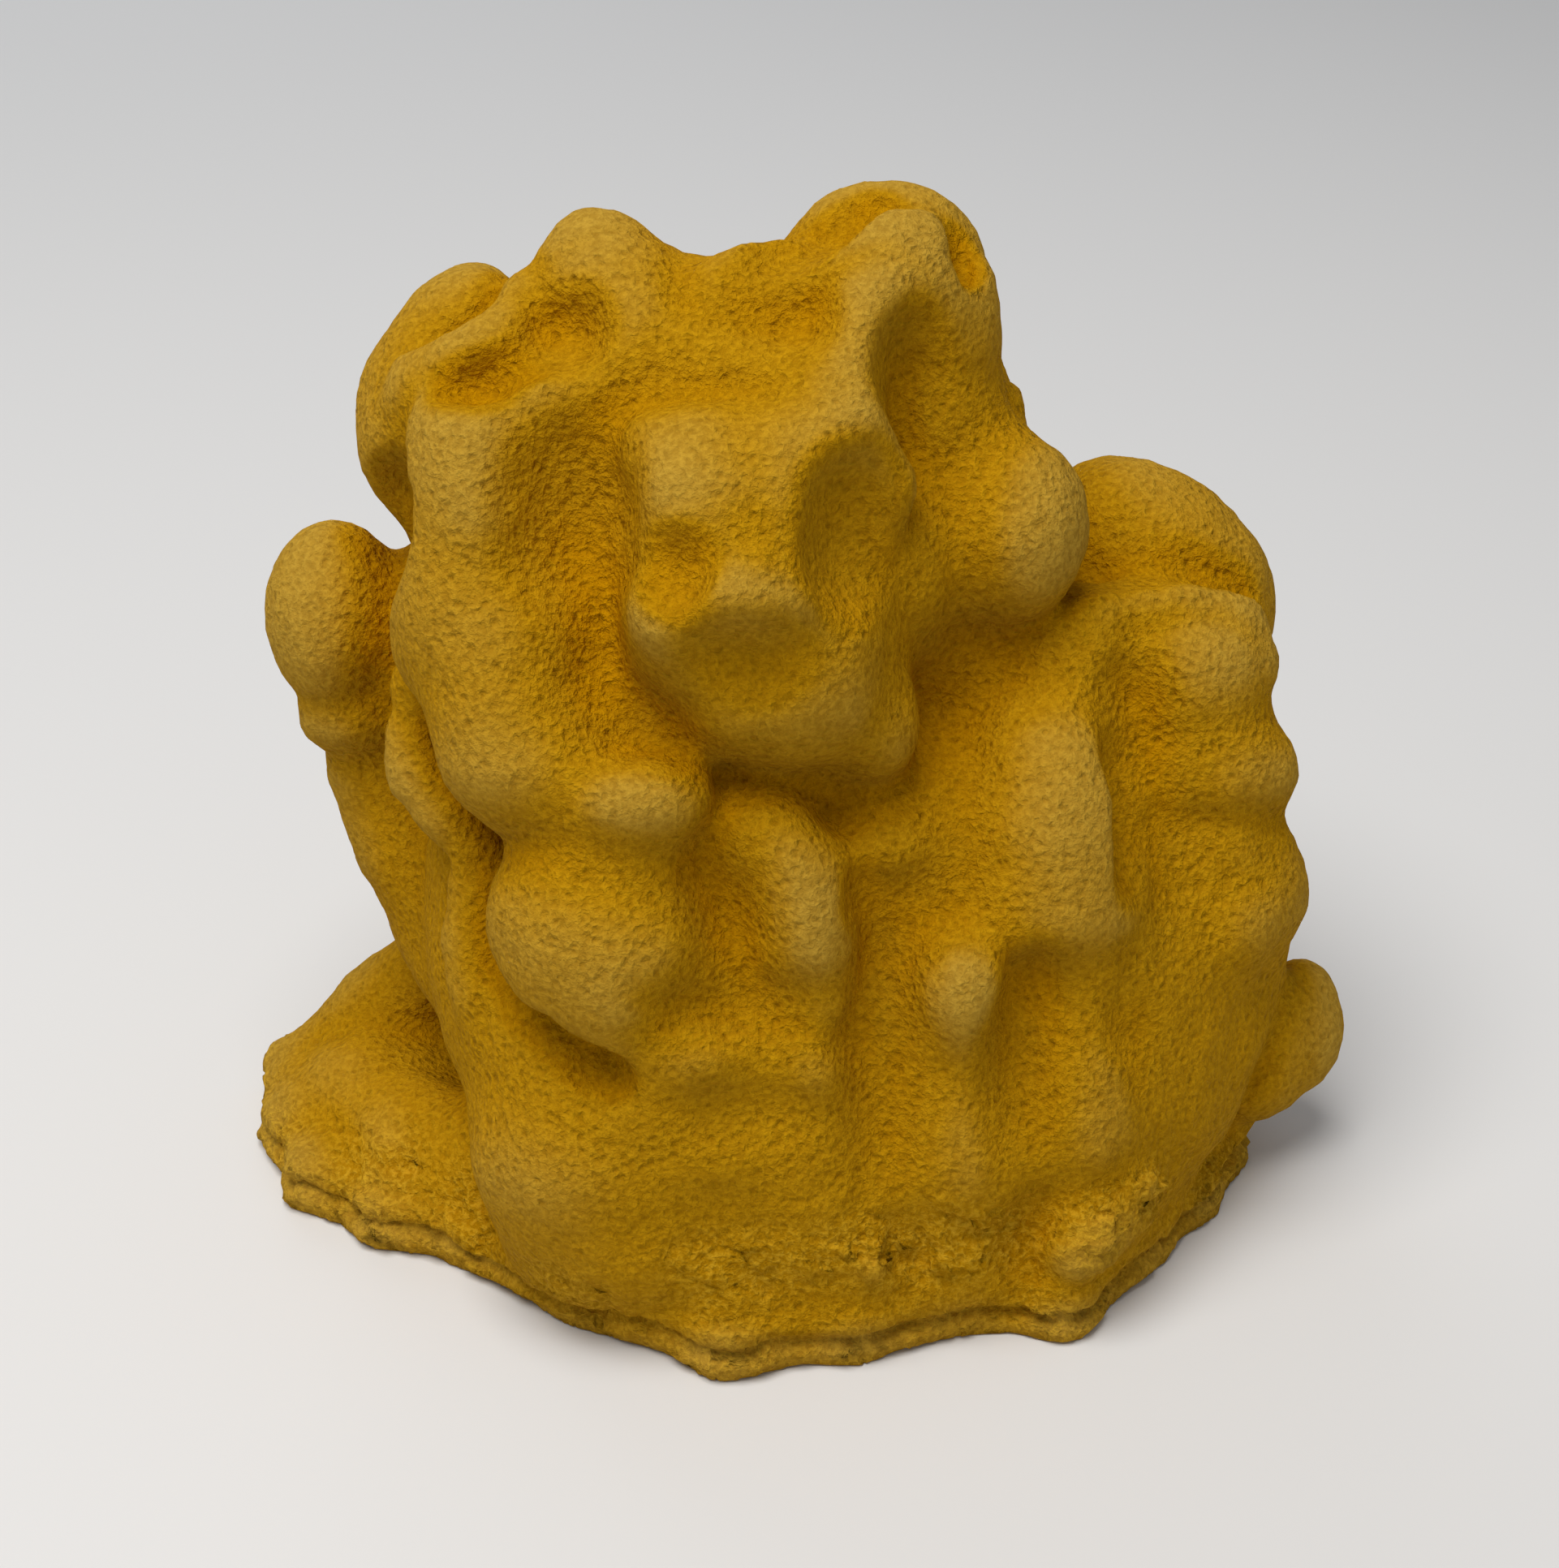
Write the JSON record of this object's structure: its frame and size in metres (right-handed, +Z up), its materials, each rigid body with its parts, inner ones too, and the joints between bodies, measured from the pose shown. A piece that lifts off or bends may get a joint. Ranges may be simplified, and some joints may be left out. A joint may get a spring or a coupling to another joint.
{
  "type": "lobe coral",
  "caption": "Massive lobed coral skeleton of rounded knobs, ridges and hollows on a thin crusted foot, cut flat to rest on a surface.",
  "frame": {"origin": "middle of the bounding box at the flat cut underneath", "axes": "+Z up; the face with the big central knob looks towards -Y; +X is to the right of that face, towards the side lobes and the low bulb"},
  "size_m": [0.1568, 0.097, 0.1381],
  "materials": {
    "coral_skeleton": "matte mustard yellow, finely pitted like felt, with duller crests and more orange hollows"
  },
  "bodies": {
    "root": {"coral": "coral_skeleton"}
  },
  "joints": []
}
